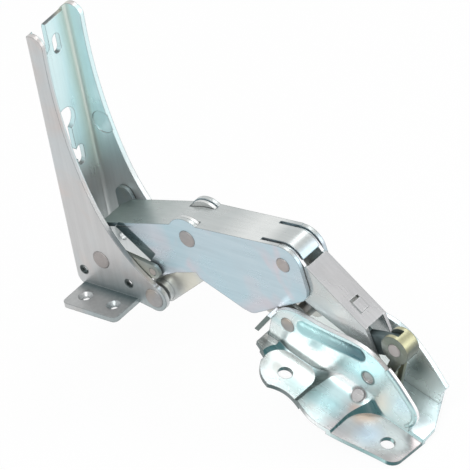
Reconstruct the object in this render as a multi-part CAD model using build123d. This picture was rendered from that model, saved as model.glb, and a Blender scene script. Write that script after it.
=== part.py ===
from build123d import *
import math
import os

os.makedirs("parts", exist_ok=True)

# A seven-joint hinge for the door of a built-in fridge, standing open.
# Millimetres. X runs from the wall channel out to the door tray, Y along the rivets, Z up the channel.
# The origin is the middle of the foot's screw pattern, on the foot's underside.

# Clearances
running = 0.06            # radial, between a rivet and the link that turns on it
seated = 0.01             # radial, between a rivet and the plates that it is headed in
side_gap = 0.2            # between plates that pass each other
open_pivot = 1.8          # radial, where the control link sits loosely on its studs
lug_clearance = 0.2       # radial, between the outer arm and the pin in the lug
cut_length = 60.0         # of the cuts that run right past a piece

# Pivots, in the side view
pivot_a = (-1.9, 14.5)    # channel and control link
pivot_b = (20.1, 4.4)     # channel and lower lever
pivot_c = (38.2, 33.0)    # lower lever and upper lever, the crossing
pivot_d = (82.7, 35.1)    # upper lever and outer arm
pivot_e = (80.7, 9.7)     # lower lever and tray
pivot_g = (126.6, 9.8)    # outer arm and tray
pivot_k = (20.0, 14.5)    # control link and upper lever

# Rivets
rivet_a_r = 3.5
rivet_a_shank_r = 2.2
rivet_b_r = 3.8
rivet_b_shank_r = 2.75
rivet_c_r = 3.4
rivet_d_r = 2.9
rivet_e_r = 2.9
rivet_g_r = 2.7
rivet_k_r = 1.5
rivet_proud = 0.35
rivet_bevel = 0.3

# Wall channel, one stamping
channel_half = 12.0       # outer face of each cheek, from the middle plane
channel_sheet = 2.0
channel_back = -17.0      # outer face of the web
channel_top = 109.0
web_top = 106.5
cheek_top_width = 8.8
ear_b_r = 5.4
ear_angle = 75.0          # where the front edge runs onto the ear
cheek_rise = 0.5          # of the cheeks' lower edge, above the foot's underside
cheek_front = [(-8.4, 85.0), (-6.4, 64.0), (-3.0, 47.5), (2.0, 33.0), (9.0, 21.5)]
cheek_hole_r = 1.7
cheek_holes = [(-11.2, 7.5), (9.2, 7.5)]
bend_r = 3.6              # outside of each bend
heel_cut = 5.0            # slanted corner at the heel of each cheek
press_mark = (-8.8, 58.1)
press_mark_r = 4.6
press_depth = 0.4

# Foot flanges and their countersunk screw holes
foot_length = 24.4
foot_reach = 13.5
foot_sheet = 2.0
foot_hole_pitch = 12.8
foot_hole_y = 18.9        # from the middle plane
foot_hole_r = 1.3
foot_sink_r = 2.6
foot_corner_r = 2.0

# Slots in the channel's web
hook_y = -4.4
hook_r = 3.0
hook_bottom = 97.7
keyhole_y = -1.2
keyhole_head_z = 64.5
keyhole_head_r = 5.0
keyhole_neck_r = 1.9
keyhole_bottom = 47.4
oblong_y = 2.4
oblong_r = 2.0
oblong_height = 8.2
oblong_upper_z = 96.0
oblong_lower_z = 47.3

# Control link, a pair of flat plates beside the upper lever
link_sheet = 1.5
link_eye_a_r = 6.0
link_eye_k_r = 3.0
link_toe = (-4.6, 28.4)
link_toe_r = 3.6

# Upper lever, a bent channel with its web on top
upper_sheet = 1.6
upper_link_gap = 0.7      # between its cheek and the control link
web_left = (-2.4, 28.0)
web_knee = (38.0, 39.2)
web_left_chamfer = 5.0
tongue_inset = 1.4        # from a cheek's inner face to the tongue's edge
tongue_r = 8.2            # outer radius of the tongue that curls over pivot_d
tongue_start = 95.0
tongue_end = 20.0
tongue_slot = 10.0        # how far the slots beside the tongue run into the web
ear_c_r = 8.4
ear_d_r = 8.0
lobe_k_r = 3.3
lobe_root = (28.0, 20.0)  # where the lobe round pivot_k grows out of the cheek
lobe_root_r = 4.5
cheek_left = (3.4, 27.3)
cheek_low = [(59.4, 8.4), (40.4, 16.4), (39.0, 18.6), (30.4, 15.9)]
belly = (62.0, 13.2)
belly_r = 5.2
heel = (84.8, 26.6)
heel_r = 6.8
lead_in = 6.0             # width of the bevel on the cheeks' left ends
lead_in_depth = 0.9

# Lower lever, a channel rolled round the lower rivet
lower_sheet = 1.5
barrel_r = 5.2            # outside of the roll round rivet B
barrel_end_r = 4.4        # its two ends, which the upper lever's lobes swing past
limb_elbow = (38.5, 22.0)
limb_elbow_r = 7.2
run_middle = (66.0, 17.5)
run_r = 6.4
lower_eye_c_r = 8.0
lower_eye_e_r = 5.6
limb_web = ((23.6, 0.6), (43.0, 16.6))

# Outer arm, a channel with its web outward and its end cut square
arm_sheet = 1.5
arm_eye_d_r = 7.4
arm_start = (92.0, 35.6)
arm_end = (114.6, 15.4)
arm_heel = (88.0, 19.6)
arm_tip = (118.2, -0.6)
arm_belly = (104.0, 10.4)
arm_shoulder = (90.0, 26.0)
arm_shoulder_r = 6.4
arm_tab_length = 5.4
arm_tab_width = 4.4
arm_tab_rise = 0.5
arm_tab_back = 8.0        # from the tab's middle to the web's end
arm_slit = 1.2            # width of the sheared slit at the tab's start

# Insert in the outer arm, a doubled strip which reaches out to the lug
insert_sheet = 1.5
insert_fold_gap = 0.2     # between its two layers
insert_eye_r = 4.1
insert_root = (101.0, 17.5)
insert_root_r = 4.0
insert_bend = (112.0, 7.6)
insert_bend_r = 4.2

# Door tray, one drawn stamping, in its own tilted frame with its origin at pivot_e
tray_tilt = 22.5
tray_sheet = 1.8
tray_wall_gap = 0.3       # between a wall and the upper lever's cheek
tray_floor = -10.9        # upper face of the floor
tray_base = -12.0         # upper face of the screw pads, below the floor
tray_left = -2.0
tray_wall_left = -7.0
wall_left_top = -2.0
wall_crest = [(-6.2, 2.0), (-1.1, 7.1), (12.8, 9.8), (28.6, 13.2), (36.0, 13.0), (44.5, 9.3), (51.8, 4.0)]
wall_tip = (58.2, -1.6)
wall_foot = (56.6, -6.0)
rim_path = [(42.6, 9.9), (48.2, 6.2), (53.6, 1.9), (57.2, -2.2), (57.0, -6.6), (54.8, -9.8)]
rim_r = 1.5               # rolled rim of the near wall's right end
near_lead = [(tray_left, -19.9), (1.8, -24.9)]    # the near edge, seen square to the floor
near_edge = [(6.8, -27.2), (19.3, -26.6), (26.4, -29.2), (36.4, -29.4), (48.0, -27.4)]
near_corner = (62.6, -25.2)
right_edge = [(63.2, -8.2), (62.7, -2.0), (52.9, 16.9)]
far_corner = (29.0, 25.5)
far_edge = [(6.8, 27.2), (tray_left, 20.0)]
notch_y = 17.6            # where the left edge steps out to the wing
corner_r = 4.5
pad_depth = 40.0          # past the tray's edge
pad_draw = 7.0            # past the slope's top
tray_hole_u = 8.0
tray_hole_pitch = 46.4
tray_hole_y = 18.6
tray_hole_r = 2.7
pad_one = (-2.2, 18.0)    # floor of the inner screw pad, along the tray
pad_one_r = 6.5
pad_one_draft = 55.0      # its sides lean out from the punch
pad_two = (37.0, 97.0)
pad_two_r = 11.0
pad_two_draft = 25.0
pad_inset = 0.2           # from a wall's face to the pads
gusset = [(0.0, -5.4), (1.6, -8.0), (5.0, -9.7), (11.0, -10.6)]    # out from the wall's face
gusset_out = 27.0         # where it meets the floor
window = (-8.0, 37.0)     # opening in the floor under the levers
groove = ((6.5, 3.4), (30.5, 9.0))
groove_r = 6.0
groove_depth = 1.0
dimple = (36.2, 1.0)
dimple_r = 2.4
dimple_depth = 0.5
boss = (34.8, 1.7, -8.2)  # flat mark at the wall's foot: along, out from the wall's face, up
boss_r = 2.4
boss_height = 1.6
boss_lean = 45.0
rib_reach = 3.8
rib_face = [(-9.0, -7.6), (-10.8, -7.6), (-6.9, 2.6), (-5.1, 2.6)]
wing = (-8.0, 15.0)       # how far the slope runs out past the wall's left end

# Lug, a strap folded over the end of the insert
lug_sheet = 1.6
lug_leg = (39.4, 44.6)    # its leg, along the tray
lug_shoulder = 8.0        # where the leg widens into the eye, above pivot_e
lug_strap_low = -95.0
lug_strap_high = 72.0


def outward(distance, sheet):
    """Half widths of a plate whose outer face lies at a distance from the middle plane."""
    return distance - sheet, distance


link_in, link_out = outward(channel_half - channel_sheet - side_gap, link_sheet)
upper_in, upper_out = outward(link_in - upper_link_gap, upper_sheet)
tongue_half = upper_in - tongue_inset
tray_wall_half = upper_out + tray_wall_gap + tray_sheet
lower_in, lower_out = outward(upper_in - side_gap, lower_sheet)
arm_in, arm_out = outward(upper_in - side_gap, arm_sheet)
cheek_in = channel_half - channel_sheet
insert_near = side_gap - arm_in
insert_far = insert_near + 2 * insert_sheet + insert_fold_gap
lug_near = insert_near - side_gap - lug_sheet
lug_far = insert_far + side_gap + lug_sheet


def slab(face, y0, y1):
    """A flat plate cut to a side-view face, between two depths."""
    return extrude(Plane.XZ.offset(-y0) * face, -(y1 - y0))


def pair(face, inner, outer):
    """The same plate on both sides of the middle plane."""
    return slab(face, -outer, -inner) + slab(face, inner, outer)


def disc(centre, radius):
    return Pos(*centre) * Circle(radius)


def bar(p, rp, q, rq):
    """The outline of a strap that runs round two round ends."""
    return make_hull(disc(p, rp).edges() + disc(q, rq).edges())


def polygon(*points):
    return make_face(Polyline(*points, close=True))


def rod(centre, radius, y0, y1):
    return slab(disc(centre, radius), y0, y1)


def offset_point(p, q, distance):
    """A point moved square to the line from p to q."""
    length = math.hypot(q[0] - p[0], q[1] - p[1])
    nx = -(q[1] - p[1]) / length
    nz = (q[0] - p[0]) / length
    return nx * distance, nz * distance


def save(solid, name):
    solid.label = name
    export_step(solid, f"parts/{name}.step")


def u_section(back, reach, half, sheet, outer_r):
    """The plan of a sheet folded into a channel, open towards +X, with round bends."""
    outer = Pos(back + reach / 2, 0) * Rectangle(reach, 2 * half)
    outer = fillet(outer.vertices().group_by(Axis.X)[0], outer_r)
    inner = Pos(back + sheet + reach / 2, 0) * Rectangle(reach, 2 * (half - sheet))
    inner = fillet(inner.vertices().group_by(Axis.X)[0], max(outer_r - sheet, 0.2))
    return outer - inner


def make_cheek_outline():
    """Side view of the channel: narrow at the top, swept out to the ear that carries rivet B."""
    knob_r = cheek_top_width / 2
    knob = (channel_back + knob_r, channel_top - knob_r)
    top = (channel_back + cheek_top_width, knob[1])
    foot = (pivot_b[0], pivot_b[1] - ear_b_r)
    ear = polar(pivot_b, ear_b_r, ear_angle)
    front = Spline(top, *cheek_front, ear)
    back = [(channel_back + heel_cut, cheek_rise), (channel_back, heel_cut), (channel_back, knob[1])]
    rest = Polyline(ear, pivot_b, foot, (foot_length / 2, cheek_rise), *back, top)
    return make_face(front + rest) + disc(knob, knob_r) + disc(pivot_b, ear_b_r)


def make_channel():
    section = u_section(channel_back, cut_length, channel_half, channel_sheet, bend_r)
    body = extrude(Plane.XY.offset(-10) * section, channel_top + 20)
    body = body & slab(make_cheek_outline(), -channel_half, channel_half)
    body = body - Pos(channel_back, 0, web_top + 20) * Box(20, 2 * (channel_half - bend_r), 40)
    for side in (-1, 1):
        wide = foot_reach + channel_sheet
        middle = side * (channel_half + foot_reach - wide / 2)
        foot = Pos(0, middle, foot_sheet / 2) * Box(foot_length, wide, foot_sheet)
        corners = foot.edges().filter_by(Axis.Z).group_by(Axis.Y)[-1 if side > 0 else 0]
        body = body + fillet(corners, foot_corner_r)
        for end in (-1, 1):
            spot = Pos(end * foot_hole_pitch / 2, side * foot_hole_y, foot_sheet)
            body = body - spot * CounterSinkHole(foot_hole_r, foot_sink_r, 2 * foot_sheet, 90)
    for point in cheek_holes:
        body = body - rod(point, cheek_hole_r, -channel_half - 1, channel_half + 1)
    body = body - rod(pivot_a, rivet_a_r + seated, -channel_half - 1, channel_half + 1)
    body = body - rod(pivot_b, rivet_b_r + seated, -channel_half - 1, channel_half + 1)
    hook = Pos(hook_y, hook_bottom) * Circle(hook_r)
    hook = hook + Pos(hook_y, hook_bottom + 15) * Rectangle(2 * hook_r, 30)
    key = Pos(keyhole_y, keyhole_head_z) * Circle(keyhole_head_r)
    neck_length = keyhole_head_z - keyhole_bottom
    key = key + Pos(keyhole_y, keyhole_head_z - neck_length / 2) * Rectangle(2 * keyhole_neck_r, neck_length)
    key = key + Pos(keyhole_y, keyhole_bottom) * Circle(keyhole_neck_r)
    mark = rod(press_mark, press_mark_r, cheek_in - 1, cheek_in + press_depth)
    body = body - mark
    slots = hook + key
    for z in (oblong_upper_z, oblong_lower_z):
        slots = slots + Pos(oblong_y, z) * Rot(0, 0, 90) * SlotOverall(oblong_height, 2 * oblong_r)
    return body - extrude(Plane.YZ.offset(channel_back - 2) * slots, channel_sheet + 4)


def make_link(side):
    face = bar(pivot_a, link_eye_a_r, pivot_k, link_eye_k_r)
    face = face + bar(pivot_a, link_eye_a_r, link_toe, link_toe_r)
    face = face - disc(pivot_a, rivet_a_shank_r + open_pivot) - disc(pivot_k, rivet_k_r + running)
    if side < 0:
        return slab(face, -link_out, -link_in)
    return slab(face, link_in, link_out)


def polar(centre, radius, degrees):
    angle = math.radians(degrees)
    return centre[0] + radius * math.cos(angle), centre[1] + radius * math.sin(angle)


def strip(p, q, thickness, half):
    """A flat strip of sheet along a line in the side view, with p and q on its upper face."""
    dx, dz = offset_point(p, q, -thickness)
    return slab(polygon(p, q, (q[0] + dx, q[1] + dz), (p[0] + dx, p[1] + dz)), -half, half)


def far_wedge(centre, start, end):
    """A sector round a centre, between two angles less than 180 degrees apart."""
    middle = (start + end) / 2
    arms = [polar(centre, cut_length, angle) for angle in (start, middle, end)]
    return polygon(centre, *arms)


def make_upper():
    """The upper lever: deep cheeks under one web, which ends in a tongue curled over rivet D."""
    crest = polar(pivot_d, tongue_r, tongue_start)
    cheek = polygon(cheek_left, web_knee, crest, pivot_d, heel, belly, *cheek_low, pivot_k)
    rounds = disc(belly, belly_r).edges() + disc(heel, heel_r).edges() + disc(pivot_d, ear_d_r).edges()
    cheek = cheek + make_hull(rounds)
    cheek = cheek + disc(pivot_c, ear_c_r) + bar(pivot_k, lobe_k_r, lobe_root, lobe_root_r)
    body = pair(cheek, upper_in, upper_out)
    web = strip(web_left, web_knee, upper_sheet, upper_out) + strip(web_knee, crest, upper_sheet, upper_out)
    corner = Box(web_left_chamfer, web_left_chamfer, 2 * web_left_chamfer)
    corner = Pos(web_left[0], upper_out, web_left[1]) * Rot(0, 0, 45) * corner
    deep = 5 * upper_sheet
    beside = Pos(pivot_d[0], 0, crest[1]) * Box(2 * tongue_slot, 4 * tongue_slot, deep)
    beside = beside - Pos(pivot_d[0], 0, crest[1]) * Box(2 * tongue_slot, 2 * tongue_half, deep)
    beside = beside & pair(disc(pivot_d, 3 * tongue_slot), tongue_half, upper_in)
    ring = disc(pivot_d, tongue_r) - disc(pivot_d, tongue_r - upper_sheet)
    tongue = slab(ring & far_wedge(pivot_d, tongue_start + 1, tongue_end), -tongue_half, tongue_half)
    body = body + (web - corner - beside) + tongue
    for centre, radius in ((pivot_c, lower_eye_c_r), (pivot_d, arm_eye_d_r)):
        body = body - pair(disc(centre, radius + 2 * side_gap), lower_in - side_gap, upper_in)
    for centre, radius in ((pivot_c, rivet_c_r), (pivot_d, rivet_d_r), (pivot_k, rivet_k_r)):
        body = body - rod(centre, radius + seated, -channel_half, channel_half)
    for side in (-1, 1):
        body = body - make_lead_in(side)
    return body


def make_lead_in(side):
    """What the press takes off the outside of a cheek along its slanted left edge."""
    along = (pivot_k[0] - cheek_left[0], pivot_k[1] - cheek_left[1])
    length = math.hypot(*along)
    edge = (along[0] / length, 0, along[1] / length)
    inward = (-edge[2], 0, edge[0])
    spare = 1.0
    deep = lead_in_depth * (lead_in + spare) / lead_in
    corners = [(-spare, spare), (lead_in, spare), (lead_in, 0.0), (-spare, -deep)]
    face = polygon(*[(x, -side * y) for x, y in corners])
    start = Plane(origin=(cheek_left[0], side * upper_out, cheek_left[1]), x_dir=inward, z_dir=edge)
    return extrude(start * face, length - lobe_k_r)


def make_lower():
    """The lower lever: rolled round rivet B, up to the crossing and out to the tray."""
    limb = bar(pivot_b, barrel_r, limb_elbow, limb_elbow_r)
    crest = bar(limb_elbow, limb_elbow_r, pivot_c, lower_eye_c_r)
    run = bar(limb_elbow, limb_elbow_r, run_middle, run_r) + bar(run_middle, run_r, pivot_e, lower_eye_e_r)
    body = pair(limb + crest + run, lower_in, lower_out)
    body = body + rod(pivot_b, barrel_r, -lower_out, lower_out)
    body = body + rod(pivot_b, barrel_end_r, side_gap - link_in, link_in - side_gap)
    body = body + strip(*limb_web, -lower_sheet, lower_out)
    body = body - rod(pivot_b, rivet_b_shank_r + running, -channel_half, channel_half)
    body = body - rod(pivot_c, rivet_c_r + running, -channel_half, channel_half)
    return body - rod(pivot_e, rivet_e_r + running, -channel_half, channel_half)


def make_arm():
    """The outer arm: a channel that hangs on rivet D, cut off square before the lug."""
    cheek = polygon(pivot_d, arm_start, arm_end, arm_tip, arm_belly, arm_heel)
    cheek = cheek + disc(pivot_d, arm_eye_d_r) + bar(pivot_d, arm_eye_d_r, arm_shoulder, arm_shoulder_r)
    body = pair(cheek, arm_in, arm_out) + strip(arm_start, arm_end, arm_sheet, arm_out)
    length = math.hypot(arm_end[0] - arm_start[0], arm_end[1] - arm_start[1])
    slope = math.degrees(math.atan2(arm_end[1] - arm_start[1], arm_end[0] - arm_start[0]))
    tab = Pos(length - arm_tab_back, 0, 0) * Box(arm_tab_length, arm_tab_width, 2 * arm_tab_rise)
    slit = Pos(length - arm_tab_back - arm_tab_length / 2, 0, 0) * Box(arm_slit, arm_tab_width, 4 * arm_sheet)
    place = Pos(arm_start[0], 0, arm_start[1]) * Rot(0, -slope, 0)
    body = body + place * tab - place * slit
    return body - rod(pivot_d, rivet_d_r + running, -channel_half, channel_half)


def make_insert():
    """A doubled strip held inside the outer arm, whose eye turns on rivet G."""
    face = bar(insert_root, insert_root_r, insert_bend, insert_bend_r)
    eye = bar(insert_bend, insert_bend_r, pivot_g, insert_eye_r)
    body = slab(face + eye, insert_near, insert_far)
    between = insert_near + insert_sheet
    below = Pos(insert_bend[0], 0) * Rectangle(4 * insert_bend_r, 2 * insert_bend[1])
    body = body - slab(below, between, between + insert_fold_gap)
    return body - rod(pivot_g, rivet_g_r + lug_clearance, -channel_half, channel_half)


def make_plan():
    """The tray's outline, seen square to its floor."""
    near = Spline(*near_lead, near_edge[0])
    near = near + Spline(*near_edge, near_corner)
    left = [(tray_left, notch_y), (wing[0], wing[1]), (wing[0], -wing[1]), (tray_left, -notch_y)]
    rest = Polyline(near_corner, *right_edge, far_corner, *far_edge, *left, near_lead[0])
    plan = make_face(near + rest)
    for corner in (near_corner, far_corner):
        plan = fillet(plan.vertices().sort_by_distance(corner)[0], corner_r)
    return plan


def make_pads(grow):
    """The two dished screw pads on one side of the tray, as drafted punches, grown by a thickness."""
    punches = []
    inner = (pad_one, pad_one_r, pad_one_draft)
    outer = (pad_two, pad_two_r, pad_two_draft)
    for (low, high), corner, draft in (inner, outer):
        reach = grow / math.cos(math.radians(draft))
        wide = high - low + 2 * reach
        deep = pad_depth + 2 * reach
        edge = tray_wall_half + pad_inset - reach
        face = Pos((low + high) / 2, -edge - deep / 2) * Rectangle(wide, deep)
        face = fillet(face.vertices().group_by(Axis.Y)[-1], corner + reach)
        punch = extrude(Plane.XY.offset(tray_base) * face, pad_draw, taper=-draft)
        punches.append(punch + extrude(Plane.XY.offset(tray_base - pad_draw) * face, pad_draw))
    return punches[0] + punches[1]


def make_flank(drop):
    """The slope from a wall's foot out to the floor, as a solid below its upper face."""
    outer = [(tray_wall_half + y, w - drop) for y, w in gusset]
    end = (gusset_out, tray_floor - drop)
    far = (2 * gusset_out, tray_floor - drop)
    inner = (tray_wall_half - tray_sheet, outer[0][1])
    under = tray_base - tray_sheet
    low = Polyline(end, far, (far[0], under), (inner[0], under), inner, outer[0])
    face = make_face(Spline(*outer, end) + low)
    return extrude(Plane.YZ.offset(tray_left) * face, wall_foot[0] - tray_left)


def make_groove(side):
    """A long shallow groove pressed into a wall, as a capsule that cuts its outer face."""
    y = side * (tray_wall_half + groove_r - groove_depth)
    start, end = [Vector(u, y, w) for u, w in groove]
    run = end - start
    middle = Plane(origin=(start + end) / 2, z_dir=run)
    capsule = middle * Cylinder(groove_r, run.length)
    return capsule + Pos(start) * Sphere(groove_r) + Pos(end) * Sphere(groove_r)


def make_rim():
    """The rolled rim of the near wall's right end, outside the wall's inner face."""
    path = Plane.XZ.offset(tray_wall_half - rim_r + side_gap) * Spline(*rim_path)
    rim = sweep((path ^ 0) * Circle(rim_r), path)
    inner_half = tray_wall_half - tray_sheet
    return rim - Pos(rim_path[2][0], 0, 0) * Box(cut_length, 2 * inner_half, cut_length)


def make_tray():
    start = (tray_wall_left, tray_base - tray_sheet)
    end = (wall_foot[0], start[1])
    wall = Polyline(start, (tray_wall_left, wall_left_top), wall_crest[0]) + Spline(*wall_crest, wall_tip)
    wall = make_face(wall + Polyline(wall_tip, wall_foot, end, start))
    body = pair(wall, tray_wall_half - tray_sheet, tray_wall_half)
    plan = make_plan()
    column = extrude(Plane.XY.offset(-cut_length / 2) * plan, cut_length)
    slope = make_flank(0.0) + mirror(make_flank(0.0), Plane.XZ)
    hollow = make_flank(tray_sheet) + mirror(make_flank(tray_sheet), Plane.XZ)
    pads = make_pads(0.0)
    pads = pads + mirror(pads, Plane.XZ)
    grown = make_pads(tray_sheet)
    grown = grown + mirror(grown, Plane.XZ)
    skin = (slope - pads) - (hollow - grown)
    floor = extrude(Plane.XY.offset(tray_floor - tray_sheet) * plan, tray_sheet) - pads
    floor = floor - slope
    plates = extrude(Plane.XY.offset(tray_base - tray_sheet) * plan, tray_sheet) & grown
    body = body + ((skin + floor + plates) & column)
    middle = (window[0] + window[1]) / 2
    inner_half = tray_wall_half - tray_sheet
    body = body - Pos(middle, 0, tray_base) * Box(window[1] - window[0], 2 * inner_half, 8 * tray_sheet)
    ribs = pair(polygon(*rib_face), inner_half, tray_wall_half + rib_reach)
    body = body + ribs + make_rim()
    for side in (-1, 1):
        body = body - make_groove(side)
        faces = sorted((side * (tray_wall_half - dimple_depth), side * (tray_wall_half + 1)))
        body = body - rod(dimple, dimple_r, *faces)
        spot = Pos(boss[0], side * (tray_wall_half + boss[1]), boss[2]) * Rot(-side * boss_lean, 0, 0)
        body = body + spot * Cylinder(boss_r, boss_height)
    for u, side in ((tray_hole_u, -1), (tray_hole_u, 1), (tray_hole_u + tray_hole_pitch, -1)):
        body = body - Pos(u, side * tray_hole_y, tray_base) * Cylinder(tray_hole_r, 8 * tray_sheet)
    body = body - rod((0, 0), rivet_e_r + seated, -channel_half, channel_half)
    return Pos(pivot_e[0], 0, pivot_e[1]) * Rot(0, tray_tilt, 0) * body


def tray_point(u, w):
    angle = math.radians(tray_tilt)
    x = pivot_e[0] + u * math.cos(angle) + w * math.sin(angle)
    return x, pivot_e[1] - u * math.sin(angle) + w * math.cos(angle)


def make_lug():
    """The lug: two ears that stand in the tray, joined by a strap folded over the insert's end."""
    eye_r = insert_eye_r + side_gap + lug_sheet
    left, right = [tray_point(u, tray_floor) for u in lug_leg]
    waist = tray_point(lug_leg[1], lug_shoulder)
    shoulder = tray_point(lug_leg[0], tray_floor + 2 * eye_r)
    face = polygon(left, right, waist, polar(pivot_g, eye_r, 0.0), pivot_g, shoulder) + disc(pivot_g, eye_r)
    body = slab(face, lug_near, lug_near + lug_sheet) + slab(face, lug_far - lug_sheet, lug_far)
    ring = disc(pivot_g, eye_r) - disc(pivot_g, eye_r - lug_sheet)
    body = body + slab(ring & far_wedge(pivot_g, lug_strap_high, lug_strap_low), lug_near, lug_far)
    return body - rod(pivot_g, rivet_g_r + seated, -channel_half, channel_half)


def make_rivet(centre, radius, y0, y1):
    """A rivet across the hinge, its ends pressed a little proud with bevelled rims."""
    body = rod(centre, radius, y0 - rivet_proud, y1 + rivet_proud)
    rims = body.edges().filter_by(GeomType.CIRCLE)
    return chamfer(rims, rivet_bevel)


def make_headed(centre, shank_r, shank_half, head_r, head_half):
    """A rivet across the hinge: a thin shank between two thicker ends."""
    shank = rod(centre, shank_r, -shank_half, shank_half)
    ends = make_rivet(centre, head_r, -head_half, head_half)
    return shank + (ends - rod(centre, 2 * head_r, -shank_half, shank_half))


def make_stud(side):
    """A stepped stud in one cheek, which carries the control link."""
    waste = sorted((side * cheek_in, -side * 2 * channel_half))
    shank = sorted((side * cheek_in, side * (link_in - side_gap)))
    head = make_rivet(pivot_a, rivet_a_r, -channel_half, channel_half)
    return (head - rod(pivot_a, 2 * rivet_a_r, *waste)) + rod(pivot_a, rivet_a_shank_r, *shank)


def main():
    save(make_channel(), "wall_channel")
    save(make_link(-1), "control_link_near")
    save(make_link(1), "control_link_far")
    save(make_upper(), "upper_lever")
    save(make_lower(), "lower_lever")
    save(make_arm(), "outer_arm")
    save(make_tray(), "door_tray")
    save(make_insert(), "arm_insert")
    save(make_lug(), "tray_lug")
    save(make_headed(pivot_b, rivet_b_shank_r, cheek_in, rivet_b_r, channel_half), "rivet_b")
    save(make_rivet(pivot_c, rivet_c_r, -upper_out, upper_out), "rivet_c")
    save(make_rivet(pivot_d, rivet_d_r, -upper_out, upper_out), "rivet_d")
    save(make_rivet(pivot_e, rivet_e_r, -tray_wall_half, tray_wall_half), "rivet_e")
    save(make_rivet(pivot_g, rivet_g_r, lug_near, lug_far), "rivet_g")
    for side, name in ((-1, "near"), (1, "far")):
        save(make_stud(side), f"stud_a_{name}")
        inner, outer = sorted((side * upper_in, side * link_out))
        save(rod(pivot_k, rivet_k_r, inner, outer), f"stud_k_{name}")


main()
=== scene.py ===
import math

import bpy
from mathutils import Matrix, Vector


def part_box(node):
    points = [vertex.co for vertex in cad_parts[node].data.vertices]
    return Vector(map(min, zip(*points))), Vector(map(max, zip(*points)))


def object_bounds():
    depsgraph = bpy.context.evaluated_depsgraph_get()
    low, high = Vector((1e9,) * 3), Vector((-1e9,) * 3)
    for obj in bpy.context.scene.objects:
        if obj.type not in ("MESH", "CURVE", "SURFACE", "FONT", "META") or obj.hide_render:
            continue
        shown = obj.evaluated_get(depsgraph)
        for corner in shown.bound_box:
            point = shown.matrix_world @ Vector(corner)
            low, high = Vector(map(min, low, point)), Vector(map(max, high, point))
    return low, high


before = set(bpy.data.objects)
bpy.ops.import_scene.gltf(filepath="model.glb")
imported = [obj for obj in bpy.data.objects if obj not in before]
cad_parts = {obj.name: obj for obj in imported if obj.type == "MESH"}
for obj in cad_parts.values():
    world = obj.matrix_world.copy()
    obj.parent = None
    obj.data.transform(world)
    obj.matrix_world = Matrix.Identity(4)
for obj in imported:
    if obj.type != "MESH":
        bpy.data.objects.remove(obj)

cad_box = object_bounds()

# Wall channel: one stamping of 2 mm steel that stands on its screwed foot. It is zinc plated and
# passivated: satin grey outside, a pale cyan bloom on the inside faces, rolling lines up its height,
# a darker grey on the foot's top, and painted shade in its holes and low on its near cheek.
def colour_input(node, name):
    """The colour socket of that name, on a node that has one for each kind of value."""
    return next(socket for socket in node.inputs if socket.name == name and socket.type == "RGBA")


def mix_colours(tree, factor, first, second):
    """A mix of two colours, each a tuple or another node's socket."""
    mix = tree.nodes.new("ShaderNodeMix")
    mix.data_type = "RGBA"
    tree.links.new(factor, mix.inputs["Factor"])
    for name, value in (("A", first), ("B", second)):
        if isinstance(value, tuple):
            colour_input(mix, name).default_value = (*value, 1.0)
        else:
            tree.links.new(value, colour_input(mix, name))
    return next(socket for socket in mix.outputs if socket.type == "RGBA")


def noise(tree, place, per_metre, detail, roughness=0.5, distortion=0.0):
    """Soft noise with about this many cells to the metre."""
    texture = tree.nodes.new("ShaderNodeTexNoise")
    texture.inputs["Scale"].default_value = per_metre
    texture.inputs["Detail"].default_value = detail
    texture.inputs["Roughness"].default_value = roughness
    texture.inputs["Distortion"].default_value = distortion
    tree.links.new(place, texture.inputs["Vector"])
    return texture.outputs["Fac"]


def ramp(tree, factor, low, high, low_value=0.0, high_value=1.0):
    """A factor that goes from one value to another while its input goes from low to high."""
    remap = tree.nodes.new("ShaderNodeMapRange")
    remap.clamp = True
    remap.inputs["From Min"].default_value = low
    remap.inputs["From Max"].default_value = high
    remap.inputs["To Min"].default_value = low_value
    remap.inputs["To Max"].default_value = high_value
    tree.links.new(factor, remap.inputs["Value"])
    return remap.outputs["Result"]


def combine(tree, first, second, way):
    """The sum or product of two factors."""
    node = tree.nodes.new("ShaderNodeMath")
    node.operation = way
    tree.links.new(first, node.inputs[0])
    tree.links.new(second, node.inputs[1])
    return node.outputs["Value"]


def distance(tree, vector, point):
    """How far a place is from a point, in metres."""
    gap = tree.nodes.new("ShaderNodeVectorMath")
    gap.operation = "DISTANCE"
    gap.inputs[1].default_value = point
    tree.links.new(vector, gap.inputs[0])
    return gap.outputs["Value"]


def bump(tree, height, normal, strength, depth):
    """A normal that follows a height of this depth in metres."""
    node = tree.nodes.new("ShaderNodeBump")
    node.inputs["Strength"].default_value = strength
    node.inputs["Distance"].default_value = depth
    tree.links.new(height, node.inputs["Height"])
    tree.links.new(normal, node.inputs["Normal"])
    return node.outputs["Normal"]


def along(axis, start, full):
    """A limit of an area by its place: none of it at start, in metres, and all of it from full on."""
    return "place", axis, start, full


def facing(axis, start, full):
    """A limit of an area by how far its surface faces along an axis, from -1 to 1."""
    return "facing", axis, start, full


def within(point, start, full):
    """A limit of an area by its distance from a point, in metres."""
    return "place", point, start, full


def area(colour, strength, *limits):
    """A part of a piece that has its own colour where all its limits hold."""
    return colour, strength, limits


def cloudy_tint(tree, place, base, cool, warm):
    """The base colour with clouds of the cool tint and stains of the warm one."""
    clouds_per_metre, cloud_detail, cloud_twist = 36.0, 2.0, 0.6
    stains_per_metre, stain_detail, stain_twist = 44.0, 2.0, 1.0
    clouds = noise(tree, place, clouds_per_metre, cloud_detail, distortion=cloud_twist)
    stains = noise(tree, place, stains_per_metre, stain_detail, distortion=stain_twist)
    tint = mix_colours(tree, ramp(tree, clouds, 0.42, 0.72), base, cool)
    return mix_colours(tree, ramp(tree, stains, 0.5, 0.7, 0.0, 0.8), tint, warm)


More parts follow.
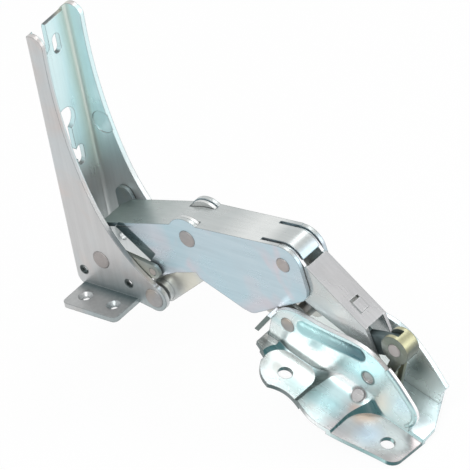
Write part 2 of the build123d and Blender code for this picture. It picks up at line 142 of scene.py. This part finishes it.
def tint_areas(tree, where, tint, areas, frame_at, frame_turn):
    """The tint with each area's colour laid over it, in the order of the list."""
    vectors, axes = {}, {}
    for source, output, origin in (("place", "Object", frame_at), ("facing", "Normal", (0.0, 0.0, 0.0))):
        local = tree.nodes.new("ShaderNodeMapping")
        local.vector_type = "TEXTURE"
        local.inputs["Location"].default_value = origin
        local.inputs["Rotation"].default_value = (0.0, math.radians(frame_turn), 0.0)
        tree.links.new(where.outputs[output], local.inputs["Vector"])
        split = tree.nodes.new("ShaderNodeSeparateXYZ")
        tree.links.new(local.outputs["Vector"], split.inputs["Vector"])
        vectors[source] = local.outputs["Vector"]
        axes[source] = split.outputs
    for colour, strength, limits in areas:
        mask = None
        for source, way, start, full in limits:
            if isinstance(way, str):
                value = axes[source][way]
            else:
                value = distance(tree, vectors[source], way)
            part = ramp(tree, value, start, full, 0.0, strength if mask is None else 1.0)
            mask = part if mask is None else combine(tree, mask, part, "MULTIPLY")
        tint = mix_colours(tree, mask, tint, colour)
    return tint


def rolling_lines(tree, place, grain):
    """Fine lines, drawn out along the axes in which grain is small."""
    lines_per_metre, line_detail, line_roughness = 700.0, 3.0, 0.6
    stretch = tree.nodes.new("ShaderNodeMapping")
    stretch.inputs["Scale"].default_value = grain
    tree.links.new(place, stretch.inputs["Vector"])
    return noise(tree, stretch.outputs["Vector"], lines_per_metre, line_detail, line_roughness)


def line_tint(tree, lines, tint):
    """The tint, a little lighter on some rolling lines and a little darker on others."""
    share = 0.08
    tint = mix_colours(tree, ramp(tree, lines, 0.5, 0.75, 0.0, share), tint, (1.0, 1.0, 1.0))
    return mix_colours(tree, ramp(tree, lines, 0.5, 0.25, 0.0, share), tint, (0.12, 0.14, 0.14))


def painted_corner_shade(tree, tint):
    """The tint with painted shade where other faces stand within reach."""
    reach, most = 0.005, 0.5
    corner = tree.nodes.new("ShaderNodeAmbientOcclusion")
    corner.samples = 6
    corner.inputs["Distance"].default_value = reach
    corner_shade = ramp(tree, corner.outputs["AO"], 0.65, 0.15, 0.0, most)
    return mix_colours(tree, corner_shade, tint, (0.05, 0.065, 0.06))


def soft_edges(tree):
    """A normal that rounds the sheet's edges, and a factor for painted shade that rises where it leaves
    the face.
    """
    edge_radius, most = 0.0005, 0.6
    soft = tree.nodes.new("ShaderNodeBevel")
    soft.samples = 6
    soft.inputs["Radius"].default_value = edge_radius
    likeness = tree.nodes.new("ShaderNodeVectorMath")
    likeness.operation = "DOT_PRODUCT"
    tree.links.new(soft.outputs["Normal"], likeness.inputs[0])
    tree.links.new(tree.nodes.new("ShaderNodeNewGeometry").outputs["Normal"], likeness.inputs[1])
    return soft.outputs["Normal"], ramp(tree, likeness.outputs["Value"], 0.99, 0.85, 0.0, most)


def zinc(name, base, cool, warm, rough, grain,
         areas=(), frame_at=(0.0, 0.0, 0.0), frame_turn=0.0, metallic=0.75):
    """Zinc-plated sheet with cloudy tints, rolling lines, and painted shade in its corners and on its
    soft edges.

    The areas are read in a frame that stands at frame_at and is turned about Y by frame_turn degrees.
    """
    edge_shade_colour = (0.10, 0.13, 0.13)
    patches_per_metre, patch_detail = 110.0, 2.0
    patch_swing, line_swing = 0.06, 0.02
    wave_strength, wave_depth = 0.12, 0.0006
    line_strength, line_depth = 0.05, 0.0002
    material = bpy.data.materials.new(name)
    material.use_nodes = True
    tree = material.node_tree
    shader = tree.nodes["Principled BSDF"]
    shader.inputs["Metallic"].default_value = metallic
    where = tree.nodes.new("ShaderNodeTexCoord")
    place = where.outputs["Object"]
    lines = rolling_lines(tree, place, grain)
    edge_normal, edge_shade = soft_edges(tree)
    tint = cloudy_tint(tree, place, base, cool, warm)
    tint = tint_areas(tree, where, tint, areas, frame_at, frame_turn)
    # Painted shade in the corners.
    tint = painted_corner_shade(tree, line_tint(tree, lines, tint))
    # Painted shade on the rounded edges, where the soft normal leaves the face.
    tree.links.new(mix_colours(tree, edge_shade, tint, edge_shade_colour), shader.inputs["Base Color"])
    patches = noise(tree, place, patches_per_metre, patch_detail)
    dull = ramp(tree, patches, 0.3, 0.7, rough - patch_swing, rough + patch_swing)
    uneven = ramp(tree, lines, 0.3, 0.7, -line_swing, line_swing)
    tree.links.new(combine(tree, dull, uneven, "ADD"), shader.inputs["Roughness"])
    normal = bump(tree, patches, edge_normal, wave_strength, wave_depth)
    normal = bump(tree, lines, normal, line_strength, line_depth)
    tree.links.new(normal, shader.inputs["Normal"])
    return material


def dress(node, material):
    """One material all over a CAD node."""
    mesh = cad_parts[node].data
    mesh.materials.clear()
    mesh.materials.append(material)


channel_inside = along("Y", -0.0108, -0.0098)
bloom_height = along("Z", 0.03, 0.055)
foot_top = (facing("Z", 0.6, 0.9), along("Z", 0.004, 0.003))
cheek_holes = ((-0.0112, -0.0112, 0.0075), (0.0092, -0.0112, 0.0075))
dress("wall_channel", zinc(
    "channel_zinc", base=(0.56, 0.56, 0.56), cool=(0.55, 0.60, 0.62), warm=(0.60, 0.53, 0.50),
    rough=0.34, grain=(1.0, 1.0, 0.05),
    areas=(
        # Painted shade in the two small holes in the near cheek.
        *(area((0.04, 0.06, 0.06), 0.9, within(hole, 0.0023, 0.0020)) for hole in cheek_holes),
        # Cut edges of the web's openings that look up.
        area((0.05, 0.08, 0.08), 0.8,
             along("X", -0.0149, -0.0154), facing("Z", 0.2, 0.5), along("Z", 0.03, 0.04)),
        # Painted shade on the near cheek's outside, low down and to the right.
        area((0.30, 0.36, 0.37), 0.75,
             along("Y", -0.0112, -0.0118), along("Z", 0.013, 0.003), along("X", -0.012, 0.004)),
        # The bloom on the web and on the far cheek, the yellower bend between them, and the foot of both.
        area((0.74, 0.93, 0.95), 0.95, facing("X", 0.3, 0.7), channel_inside, bloom_height),
        area((0.66, 0.90, 0.93), 0.95, facing("Y", -0.3, -0.7), channel_inside, bloom_height),
        area((0.66, 0.66, 0.54), 0.6,
             along("Y", 0.004, 0.0085), along("X", -0.0125, -0.0145), along("Z", 0.02, 0.05)),
        area((0.72, 0.76, 0.76), 0.85, channel_inside, along("Z", 0.045, 0.02)),
        # The foot's top, and the shade beside its bend.
        area((0.42, 0.43, 0.43), 0.9, *foot_top),
        area((0.08, 0.13, 0.14), 0.85, *foot_top, along("Y", -0.0175, -0.0128)),
    ),
))

# Control links: a pair of flat 1.5 mm links hidden between the channel's cheeks.
# They are stamped and zinc plated, and sit loosely on studs in the channel.
link_zinc = zinc(
    "link_zinc", base=(0.30, 0.34, 0.34), cool=(0.22, 0.30, 0.33), warm=(0.44, 0.42, 0.32),
    rough=0.4, grain=(0.08, 1.0, 1.0))
dress("control_link_near", link_zinc)
dress("control_link_far", link_zinc)

# Upper lever: a bent 1.6 mm channel, web on top, with a tongue curled over its end rivet.
# Its cheeks carry a pale blue passivation in clouds with hints of pink, and its web is a plainer
# grey with painted shade where it runs under the wall channel.
lever_web = facing("Z", 0.5, 0.8)
dress("upper_lever", zinc(
    "upper_zinc", base=(0.50, 0.62, 0.68), cool=(0.44, 0.62, 0.69), warm=(0.66, 0.58, 0.62),
    rough=0.31, grain=(0.05, 1.0, 1.0),
    areas=(
        area((0.50, 0.52, 0.51), 0.9, lever_web),
        area((0.74, 0.76, 0.75), 0.9, lever_web, along("X", 0.052, 0.066), along("X", 0.079, 0.073)),
        # Painted shade on the web where it runs under the wall channel.
        area((0.22, 0.29, 0.27), 0.8, lever_web, along("X", 0.034, 0.002)),
        # Painted shade on the near cheek where it stands between the channel's cheeks, and on the bevel
        # at its end.
        area((0.10, 0.16, 0.18), 0.7, facing("Y", -0.5, -0.8), along("X", 0.022, 0.004)),
        area((0.05, 0.11, 0.12), 0.8,
             facing("Y", -0.9, -0.95), facing("X", -0.04, -0.07), along("X", 0.024, 0.022)),
    ),
))

# Lower lever: a channel rolled round the lower rivet, seen below and behind the upper lever.
# It is the same zinc-plated sheet, greyer and with yellowish stains.
dress("lower_lever", zinc(
    "lower_zinc", base=(0.68, 0.69, 0.68), cool=(0.60, 0.66, 0.68), warm=(0.72, 0.69, 0.58),
    rough=0.36, grain=(0.08, 1.0, 1.0)))

# Outer arm: a narrow channel with its web outward, the smoothest of the levers.
# Its web is a light satin grey, and the edges and inside that look back to the channel carry painted
# shade.
dress("outer_arm", zinc(
    "arm_zinc", base=(0.58, 0.61, 0.61), cool=(0.50, 0.58, 0.59), warm=(0.60, 0.58, 0.54),
    rough=0.26, grain=(0.08, 1.0, 0.08),
    areas=(
        area((0.52, 0.52, 0.53), 0.9, facing("X", 0.4, 0.6)),
        # Painted shade on the faces that look back to the channel.
        area((0.05, 0.08, 0.075), 0.9, facing("X", -0.2, -0.5)),
    )))

# Arm insert: a doubled strip that stands in the arm's open end and holds the last pin.
# It is zinc plated but dull, and its dark grey-green all over is painted shade, since no light reaches it
# there.
dress("arm_insert", zinc(
    "insert_zinc", base=(0.09, 0.12, 0.12), cool=(0.12, 0.20, 0.22), warm=(0.20, 0.22, 0.16),
    rough=0.42, grain=(0.08, 1.0, 0.2)))

# Door tray: one drawn stamping with two tall walls, brushed by the press, and dished screw pads.
# Its walls are tinted cyan, with painted shade at the end of the pressed groove and on its drawn corners,
# which are nearly black. The inner pad is painted bright as a highlight, and the outer one is a plain
# grey.
tray_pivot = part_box("rivet_e")
tray_at = tuple((low + high) / 2 for low, high in zip(*tray_pivot))
tray_turn = 22.5
tray_outside = along("Y", -0.0092, -0.0099)
wall_face = facing("Y", -0.5, -0.9)
pad_face = facing("Z", 0.9, 0.97)
drawn_side = along("Z", -0.006, -0.0075)
groove = (along("Y", -0.00968, -0.0094), along("Y", -0.0080, -0.0083), facing("Y", -0.3, -0.5))
far_wall = (along("Y", 0.006, 0.0078), wall_face)
dimple = (0.0362, -0.0095, 0.0010)
foot_mark_shade, foot_mark = (0.0348, -0.0105, -0.0088), (0.0348, -0.0110, -0.0082)
mark_rim_shade = (0.06, 0.11, 0.11)
dress("door_tray", zinc(
    "tray_zinc", base=(0.66, 0.83, 0.85), cool=(0.56, 0.79, 0.81), warm=(0.76, 0.80, 0.79),
    rough=0.27, grain=(0.05, 1.0, 0.05),
    frame_at=tray_at, frame_turn=tray_turn, metallic=0.65,
    areas=(
        # The near wall's face: a painted highlight, nearly white, low on the left, and a deeper cyan to
        # the right.
        area((0.98, 1.0, 1.0), 0.9,
             wall_face, tray_outside, along("Z", -0.001, -0.004), along("X", 0.040, 0.030)),
        area((0.50, 0.74, 0.74), 0.9, wall_face, tray_outside, along("X", 0.030, 0.050)),
        # The inner pad, painted bright as a highlight, the outer pad with a warm and a bluish spot, and
        # the floor between the walls.
        area((0.88, 0.88, 0.86), 1.0, facing("Z", 0.95, 0.99), along("X", 0.022, 0.016), tray_outside),
        area((0.48, 0.44, 0.44), 0.97, pad_face, along("X", 0.030, 0.036), tray_outside),
        area((0.78, 0.53, 0.40), 0.7, pad_face, within((0.040, -0.0135, -0.012), 0.007, 0.002)),
        area((0.42, 0.46, 0.54), 0.7, pad_face, within((0.047, -0.0200, -0.012), 0.007, 0.002)),
        area((0.66, 0.76, 0.79), 0.9, pad_face, along("Y", -0.0099, -0.0092)),
        # Painted shade on the drawn sides that look left, the arc round the inner pad, the sides that
        # look right, and the foot of the near wall above the inner pad.
        area((0.05, 0.08, 0.075), 0.95, facing("X", -0.2, -0.5), drawn_side, tray_outside),
        area((0.12, 0.16, 0.15), 0.95,
             along("X", 0.0265, 0.0190), along("Z", -0.0116, -0.0106), tray_outside,
             along("Y", -0.0105, -0.0125)),
        area((0.03, 0.12, 0.13), 0.95, facing("X", 0.1, 0.3), drawn_side, tray_outside),
        area((0.10, 0.14, 0.14), 0.9, wall_face, along("Z", -0.0078, -0.0092), along("X", 0.026, 0.020)),
        # The pressed groove, and painted shade at its end.
        area((0.34, 0.60, 0.62), 0.9, *groove),
        area((0.06, 0.15, 0.18), 0.95, *groove, along("Z", 0.000, 0.003), along("X", 0.012, 0.028)),
        # The dimple and the flat mark at the wall's foot, each grey with painted shade round its rim.
        area(mark_rim_shade, 0.85, within(dimple, 0.0033, 0.0029)),
        area((0.42, 0.40, 0.39), 0.95, within(dimple, 0.0026, 0.0023)),
        area(mark_rim_shade, 0.6, within(foot_mark_shade, 0.0040, 0.0034)),
        area((0.30, 0.29, 0.29), 0.95, within(foot_mark, 0.0032, 0.0028)),
        # A painted highlight on the near wall's top edge with its rolled rim.
        area((0.98, 0.95, 0.95), 0.95,
             facing("Y", -0.7, -0.3), along("Y", -0.0070, -0.0078), along("Z", -0.009, -0.007)),
        # The far wall's inside, painted nearly white as a highlight, with a darker spot on its right.
        area((0.92, 0.99, 0.97), 0.95, *far_wall),
        area((0.14, 0.26, 0.25), 0.6, *far_wall, within((0.044, 0.0080, 0.000), 0.008, 0.002)),
    )))

# Tray lug: the small folded strap that carries the outer arm's pin.
# It is zinc plated with a yellow passivation over its roll, and painted light makes the up-facing roll
# lighter than the darker green-grey ears.
dress("tray_lug", zinc(
    "lug_zinc", base=(0.15, 0.17, 0.14), cool=(0.16, 0.20, 0.21), warm=(0.30, 0.29, 0.18),
    rough=0.35, grain=(1.0, 1.0, 1.0),
    areas=(area((0.48, 0.47, 0.29), 0.85, facing("Z", 0.0, 0.5)),)))

# Rivets and studs: steel pins whose ends are pressed flat over the plates.
# Their ends are duller and slightly pink beside the plated sheet.
rivet_steel = zinc(
    "rivet_steel", base=(0.40, 0.37, 0.36), cool=(0.32, 0.34, 0.35), warm=(0.50, 0.43, 0.36),
    rough=0.45, grain=(1.0, 1.0, 1.0))
for rivet in (
    "rivet_b", "rivet_c", "rivet_d", "rivet_e", "rivet_g",
    "stud_a_near", "stud_a_far", "stud_k_near", "stud_k_far",
):
    dress(rivet, rivet_steel)

# Floor: a plain pale plane under the lowest edge of the tray.
# It is white to the camera and in reflections, and keeps a faint shadow under the hinge.
def white_rays(tree):
    """A factor of 1 for what the camera sees, directly, in a reflection or through glass."""
    path = tree.nodes.new("ShaderNodeLightPath")
    first = combine(tree, path.outputs["Is Camera Ray"], path.outputs["Is Glossy Ray"], "ADD")
    total = combine(tree, first, path.outputs["Is Transmission Ray"], "ADD")
    return ramp(tree, total, 0.0, 1.0)


floor_size = 3.0
floor_middle = (0.05, 0.0, cad_box[0][2])
shadow_kept = 0.06
bpy.ops.mesh.primitive_plane_add(size=floor_size, location=floor_middle)
floor = bpy.context.object
floor.name = "floor"
paint = bpy.data.materials.new("floor_white")
paint.use_nodes = True
tree = paint.node_tree
matt = tree.nodes["Principled BSDF"]
matt.inputs["Base Color"].default_value = (0.9, 0.9, 0.9, 1.0)
matt.inputs["Roughness"].default_value = 0.9
glow = tree.nodes.new("ShaderNodeEmission")
blend = tree.nodes.new("ShaderNodeMixShader")
glow_share = ramp(tree, white_rays(tree), 0.0, 1.0, 0.0, 1.0 - shadow_kept)
tree.links.new(glow_share, blend.inputs["Fac"])
tree.links.new(matt.outputs["BSDF"], blend.inputs[1])
tree.links.new(glow.outputs["Emission"], blend.inputs[2])
tree.links.new(blend.outputs["Shader"], tree.nodes["Material Output"].inputs["Surface"])
floor.data.materials.append(paint)

# Background: a white studio all round the hinge, a little darker low down.
# The camera and the metal see it as plain white.
world = bpy.data.worlds.new("studio")
bpy.context.scene.world = world
world.use_nodes = True
tree = world.node_tree
background = tree.nodes["Background"]
background.inputs["Strength"].default_value = 1.0
direction = tree.nodes.new("ShaderNodeSeparateXYZ")
sky = tree.nodes.new("ShaderNodeTexCoord")
tree.links.new(sky.outputs["Generated"], direction.inputs["Vector"])
height = ramp(tree, direction.outputs["Z"], -0.3, 0.8, 0.35, 0.8)
black, white = (0.0, 0.0, 0.0), (1.0, 1.0, 1.0)
grey = mix_colours(tree, height, black, white)
tree.links.new(mix_colours(tree, white_rays(tree), grey, white), background.inputs["Color"])

# Lamps: three soft boxes, one above the near side, one above and behind, and one low on the right.
# They stand well away, so that highlights are broad and the metal keeps its own tone.
aim = Vector((0.045, 0.0, 0.03))
for name, place, size, power in (
    ("key", (0.25, -0.55, 0.75), 0.45, 2.6),
    ("back", (0.02, 0.62, 0.85), 0.35, 1.0),
    ("fill", (0.8, 0.3, 0.25), 0.5, 1.5),
):
    lamp = bpy.data.lights.new(name, "AREA")
    lamp.shape = "SQUARE"
    lamp.size = size
    lamp.energy = power
    holder = bpy.data.objects.new(name, lamp)
    bpy.context.collection.objects.link(holder)
    holder.location = place
    holder.rotation_euler = (aim - Vector(place)).to_track_quat("-Z", "Y").to_euler()

# Camera: a view without perspective, at about the photograph's angle from above the near right.
# Its frame is 470 by 470 pixels at 2.8 pixels to the millimetre.
frame_pixels = 470.0
pixels_per_metre = 2832.0
origin_from_left, origin_from_top = 133.4, 275.9
camera_distance = 0.6
right = Vector((0.7698, 0.6133, -0.1771)).normalized()
toward = Vector((0.5890, -0.5754, 0.5675)).normalized()
above = toward.cross(right).normalized()
right = above.cross(toward).normalized()
across = (frame_pixels / 2 - origin_from_left) / pixels_per_metre
rise = (origin_from_top - frame_pixels / 2) / pixels_per_metre
middle = right * across + above * rise
lens = bpy.data.cameras.new("camera")
lens.type = "ORTHO"
lens.ortho_scale = frame_pixels / pixels_per_metre
camera = bpy.data.objects.new("camera", lens)
bpy.context.collection.objects.link(camera)
view_axes = Matrix((right, above, toward)).transposed().to_4x4()
camera.matrix_world = Matrix.Translation(middle + toward * camera_distance) @ view_axes
bpy.context.scene.camera = camera

bpy.context.scene.view_settings.view_transform = "Standard"
